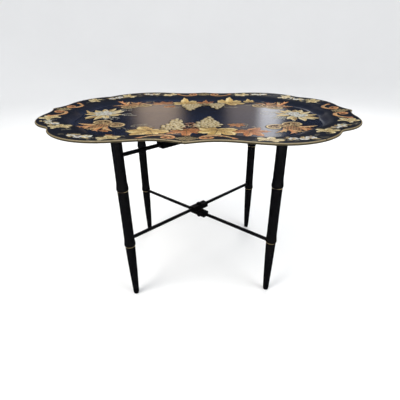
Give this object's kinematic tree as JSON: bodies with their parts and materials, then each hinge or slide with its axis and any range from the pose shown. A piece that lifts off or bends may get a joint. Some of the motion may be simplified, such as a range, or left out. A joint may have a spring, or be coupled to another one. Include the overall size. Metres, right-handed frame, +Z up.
{
  "type": "folding tray table",
  "caption": "Large lobed sheet-metal tray with a painted lacquer face and a rolled gilt edge, resting on a folding stand with bamboo-turned legs.",
  "frame": {"origin": "on the floor, under the middle of the tray", "axes": "+Z up, +X along the tray's long side, +Y towards its back long side"},
  "size_m": [0.78, 0.606, 0.467],
  "materials": {
    "tray_lacquer": "glossy near-black navy lacquer with painted and gilded decoration",
    "edge_wire": "plain iron wire, hidden in the rolled edge",
    "leg_lacquer": "glossy black lacquer on turned wood, with gilt lines at the nodes",
    "rail_lacquer": "satin black lacquer on wooden rods and blocks",
    "hardware": "blackened steel",
    "fibre": "dull dark fibre washers"
  },
  "bodies": {
    "frame_a": {"leg_front_left": "leg_lacquer", "leg_back_right": "leg_lacquer", "stretcher_hub_upper": "rail_lacquer", "stretcher_rod_front_left": "rail_lacquer", "stretcher_rod_back_right": "rail_lacquer", "top_rail_lower": "rail_lacquer", "top_rail_dowel_front_left": "rail_lacquer", "top_rail_dowel_back_right": "rail_lacquer", "lower_pivot_bolt": "hardware", "lower_pivot_nut": "hardware", "lower_pivot_washer_top": "hardware", "lower_pivot_washer_middle": "fibre", "lower_pivot_washer_bottom": "hardware", "upper_pivot_bolt": "hardware", "upper_pivot_nut": "hardware", "upper_pivot_washer_top": "hardware", "upper_pivot_washer_middle": "fibre", "upper_pivot_washer_bottom": "hardware"},
    "frame_b": {"leg_front_right": "leg_lacquer", "leg_back_left": "leg_lacquer", "stretcher_hub_lower": "rail_lacquer", "stretcher_rod_front_right": "rail_lacquer", "stretcher_rod_back_left": "rail_lacquer", "top_rail_upper": "rail_lacquer", "top_rail_dowel_front_right": "rail_lacquer", "top_rail_dowel_back_left": "rail_lacquer"},
    "tray": {"tray_body": "tray_lacquer", "tray_edge_wire": "edge_wire"}
  },
  "joints": [
    {"name": "stand_fold", "type": "hinge", "parent": "frame_a", "child": "frame_b", "pos_m": [0, 0, 0.29], "axis": [0, 0, 1], "range_deg": [0, 76]},
    {"name": "tray_lift", "type": "slide", "parent": "frame_a", "child": "tray", "axis": [0, 0, 1], "range_m": [0, 0.15]}
  ]
}
